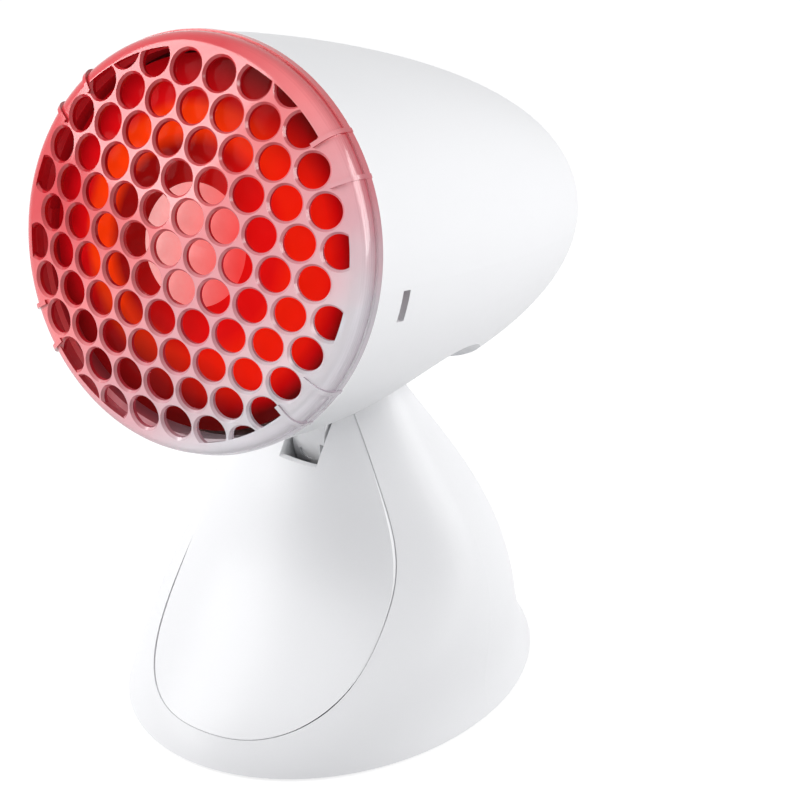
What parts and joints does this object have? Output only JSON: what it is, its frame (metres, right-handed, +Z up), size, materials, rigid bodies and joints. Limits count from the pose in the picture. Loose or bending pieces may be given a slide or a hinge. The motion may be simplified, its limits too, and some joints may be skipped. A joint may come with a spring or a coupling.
{
  "type": "infrared heat therapy lamp",
  "caption": "Table infrared heat lamp: bullet shade with a red reflector bulb behind a domed clear grille, on a tilting neck over a flared oval stand.",
  "frame": {"origin": "centre of the stand's oval foot, on the floor", "axes": "+X to the lamp's left hand side seen from behind (the viewer's right from the front), -Y the way the grille faces, +Z up"},
  "size_m": [0.139, 0.2336, 0.2576],
  "materials": {
    "white_plastic": "satin",
    "clear_plastic": "clear, glossy",
    "base_plastic": "matt",
    "foot_rubber": "matt",
    "red_glass": "ruby, glossy",
    "mirrored_glass": "mirror-backed inside",
    "cap_metal": "plated",
    "black_glass": "opaque",
    "steel": "zinc plated",
    "spring_steel": "bright",
    "brass": "bright",
    "porcelain": "glazed",
    "aluminium": "bright",
    "lead_sleeve": "silicone sleeve",
    "terminal_plastic": "matt",
    "bush_plastic": "matt",
    "washer_plastic": "waxy",
    "tungsten": "drawn wire",
    "clear_glass": "clear"
  },
  "bodies": {
    "stand": {"stand_front_cover": "white_plastic", "stand_back_housing": "white_plastic", "base_plate": "base_plastic", "rubber_feet": "foot_rubber", "base_screws": "steel", "cover_screws": "steel", "cord_inlet_bush": "bush_plastic", "terminal_block": "terminal_plastic", "terminal_screws": "brass", "hinge_bracket": "steel", "hinge_bracket_screws": "steel", "hinge_pin": "steel", "hinge_pin_clip": "spring_steel", "hinge_thrust_washers": "washer_plastic", "detent_spring": "spring_steel", "stand_leads": "lead_sleeve"},
    "head": {"shade": "white_plastic", "hinge_neck": "white_plastic", "neck_screws": "steel", "detent_disc": "steel", "lampholder_bracket": "steel", "lampholder_bracket_screws": "steel", "lampholder_body": "porcelain", "lampholder_screws": "steel", "lampholder_screw_shell": "brass", "lampholder_contact": "brass", "heat_shield": "aluminium", "head_leads": "lead_sleeve"},
    "grille": {"grille": "clear_plastic"},
    "bulb": {"bulb_lens": "red_glass", "bulb_reflector": "mirrored_glass", "bulb_screw_cap": "cap_metal", "bulb_cap_insulator": "black_glass", "bulb_contact": "cap_metal", "bulb_filament": "tungsten", "bulb_stem": "clear_glass", "bulb_filament_supports": "tungsten"}
  },
  "joints": [
    {"name": "head_tilt", "type": "hinge", "parent": "stand", "child": "head", "pos_m": [0, 0.008, 0.097], "axis": [1, 0, 0], "range_deg": [-20, 20], "deforming": ["detent_spring"]},
    {"name": "grille_pull_off", "type": "slide", "parent": "head", "child": "grille", "axis": [0, -0.9675, 0.2529], "range_m": [0, 0.06]},
    {"name": "bulb_unscrew", "type": "hinge", "parent": "head", "child": "bulb", "pos_m": [0, 0.03506, 0.16414], "axis": [0, -0.9675, 0.2529], "range_deg": [0, 1080]}
  ]
}
